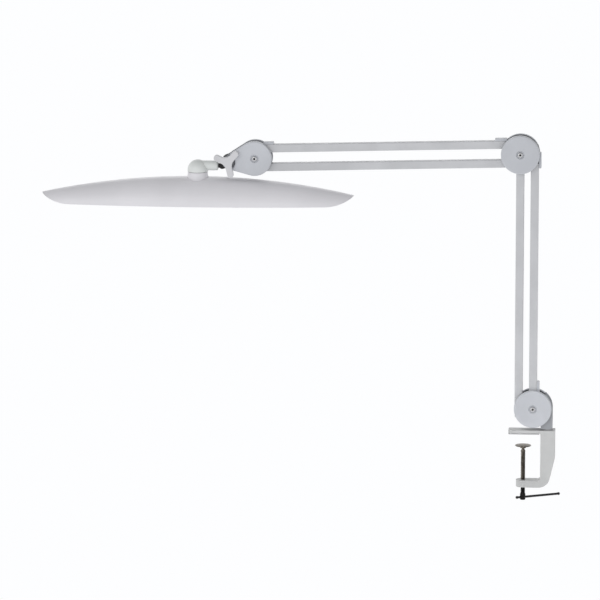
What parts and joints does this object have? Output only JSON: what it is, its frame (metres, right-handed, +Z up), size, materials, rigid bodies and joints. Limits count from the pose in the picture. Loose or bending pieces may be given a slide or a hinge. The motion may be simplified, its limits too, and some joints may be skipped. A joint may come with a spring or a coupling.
{
  "type": "swing arm task lamp",
  "caption": "Desk-clamped task lamp: two parallelogram arms of square tube between round joints carry a long arched LED shade on a tilting, twisting and swivelling head.",
  "frame": {"origin": "on the clamp screw's axis, at the underside of the top jaw, where the desk top touches it", "axes": "+Z up, the arms and the shade lie along X with the shade towards -X, and the knob side is -Y"},
  "size_m": [0.9023, 0.0928, 0.6431],
  "materials": {
    "arm_paint": "satin powder coat",
    "cast_paint": "fine textured powder coat",
    "bracket_paint": "satin powder coat",
    "cover_plastic": "satin moulded",
    "shade_plastic": "satin moulded",
    "knuckle_paint": "satin",
    "knob_plastic": "satin moulded",
    "pad_plastic": "satin moulded",
    "black_plastic": "matte",
    "black_steel": "black oxide",
    "dark_steel": "dark plated",
    "chrome": "polished",
    "zinc_steel": "zinc plated",
    "end_plastic": "moulded nylon",
    "spring_steel": "drawn wire",
    "wire": "insulation",
    "diffuser": "frosted",
    "tray": "white",
    "board": "white solder resist",
    "led": "phosphor",
    "driver": "moulded"
  },
  "bodies": {
    "clamp": {"clamp_body": "cast_paint", "jaw_pad": "pad_plastic", "clamp_bush": "black_plastic", "thrust_washer": "zinc_steel"},
    "pad": {"pressure_pad": "dark_steel"},
    "screw": {"clamp_screw": "dark_steel"},
    "bar": {"tommy_bar": "black_steel"},
    "base": {"base_bracket": "bracket_paint", "swivel_pin": "zinc_steel", "base_cover_front": "cover_plastic", "base_cover_rear": "cover_plastic", "base_bolt": "chrome", "base_rivet": "zinc_steel", "base_liners": "black_plastic", "cord_gland": "black_plastic"},
    "lower_outer": {"lower_outer_tube": "arm_paint", "lower_outer_ends": "end_plastic", "lower_outer_caps": "cover_plastic", "lower_lead": "wire"},
    "lower_inner": {"lower_inner_tube": "arm_paint", "lower_inner_ends": "end_plastic", "lower_spring": "spring_steel", "lower_spring_rods": "spring_steel"},
    "elbow": {"elbow_plates": "bracket_paint", "elbow_cover_front": "cover_plastic", "elbow_cover_rear": "cover_plastic", "elbow_bolt": "chrome", "elbow_rivets": "zinc_steel", "elbow_liners": "black_plastic"},
    "upper_outer": {"upper_outer_tube": "arm_paint", "upper_outer_ends": "end_plastic", "upper_outer_caps": "cover_plastic", "upper_lead": "wire"},
    "upper_inner": {"upper_inner_tube": "arm_paint", "upper_inner_ends": "end_plastic", "upper_spring": "spring_steel", "upper_spring_rods": "spring_steel"},
    "head": {"head_bracket": "bracket_paint", "head_cover_front": "cover_plastic", "head_cover_rear": "cover_plastic", "head_bolt": "chrome", "head_rivets": "zinc_steel", "tilt_washers": "black_plastic", "tilt_nut": "zinc_steel"},
    "knob": {"tilt_knob": "knob_plastic", "tilt_stud": "zinc_steel"},
    "tongue": {"tilt_tongue": "black_steel"},
    "knuckle": {"knuckle_rod": "knuckle_paint", "knuckle_dome": "knuckle_paint", "swivel_bolt": "zinc_steel", "swivel_nut": "zinc_steel"},
    "shade": {"shade_housing": "shade_plastic", "shade_collar": "shade_plastic", "swivel_washer": "black_plastic", "diffuser": "diffuser", "led_tray": "tray", "led_boards": "board", "leds": "led", "tray_screws": "zinc_steel", "led_driver": "driver"}
  },
  "joints": [
    {"name": "pad_lift", "type": "slide", "parent": "clamp", "child": "pad", "axis": [0, 0, 1], "range_m": [-0.054, 0.012]},
    {"name": "screw_turn", "type": "hinge", "parent": "pad", "child": "screw", "pos_m": [0, 0, -0.1], "axis": [0, 0, 1], "range_deg": [-15553, 3457]},
    {"name": "bar_slide", "type": "slide", "parent": "screw", "child": "bar", "axis": [0.891, 0.454, 0], "range_m": [-0.06, 0.003]},
    {"name": "base_swivel", "type": "hinge", "parent": "clamp", "child": "base", "pos_m": [0.042, 0, 0.0096], "axis": [0, 0, 1], "continuous": true},
    {"name": "lower_arm", "type": "hinge", "parent": "base", "child": "lower_outer", "pos_m": [0.0165, 0, 0.0457], "axis": [0, -1, 0], "range_deg": [-10, 70]},
    {"name": "lower_link", "type": "hinge", "parent": "base", "child": "lower_inner", "pos_m": [-0.0085, 0, 0.0337], "axis": [0, -1, 0], "range_deg": [-10, 70]},
    {"name": "elbow_level", "type": "hinge", "parent": "lower_outer", "child": "elbow", "pos_m": [0.0165, 0, 0.5037], "axis": [0, -1, 0], "range_deg": [-70, 10]},
    {"name": "upper_arm", "type": "hinge", "parent": "elbow", "child": "upper_outer", "pos_m": [-0.0225, 0, 0.5081], "axis": [0, 1, 0], "range_deg": [-40, 10]},
    {"name": "upper_link", "type": "hinge", "parent": "elbow", "child": "upper_inner", "pos_m": [-0.0225, 0, 0.4753], "axis": [0, 1, 0], "range_deg": [-40, 10]},
    {"name": "head_level", "type": "hinge", "parent": "upper_outer", "child": "head", "pos_m": [-0.46134, 0, 0.49623], "axis": [0, 1, 0], "range_deg": [-10, 40]},
    {"name": "knob_turn", "type": "hinge", "parent": "head", "child": "knob", "pos_m": [-0.513, -0.02, 0.4726], "axis": [0, -1, 0], "range_deg": [-330, 30]},
    {"name": "head_tilt", "type": "hinge", "parent": "head", "child": "tongue", "pos_m": [-0.513, 0, 0.4726], "axis": [0, 1, 0], "range_deg": [-8, 70]},
    {"name": "head_twist", "type": "hinge", "parent": "tongue", "child": "knuckle", "pos_m": [-0.536, 0, 0.465], "axis": [1, 0, 0], "range_deg": [-15, 90]},
    {"name": "shade_swivel", "type": "hinge", "parent": "knuckle", "child": "shade", "pos_m": [-0.567, 0, 0.45], "axis": [0, 0, 1], "range_deg": [-135, 135]}
  ],
  "couplings": [
    {"joint": "screw_turn", "follows": "pad_lift", "rad_per_m": 5026.5},
    {"joint": "lower_link", "follows": "lower_arm", "ratio": 1},
    {"joint": "elbow_level", "follows": "lower_arm", "ratio": -1},
    {"joint": "upper_link", "follows": "upper_arm", "ratio": 1},
    {"joint": "head_level", "follows": "upper_arm", "ratio": -1}
  ]
}
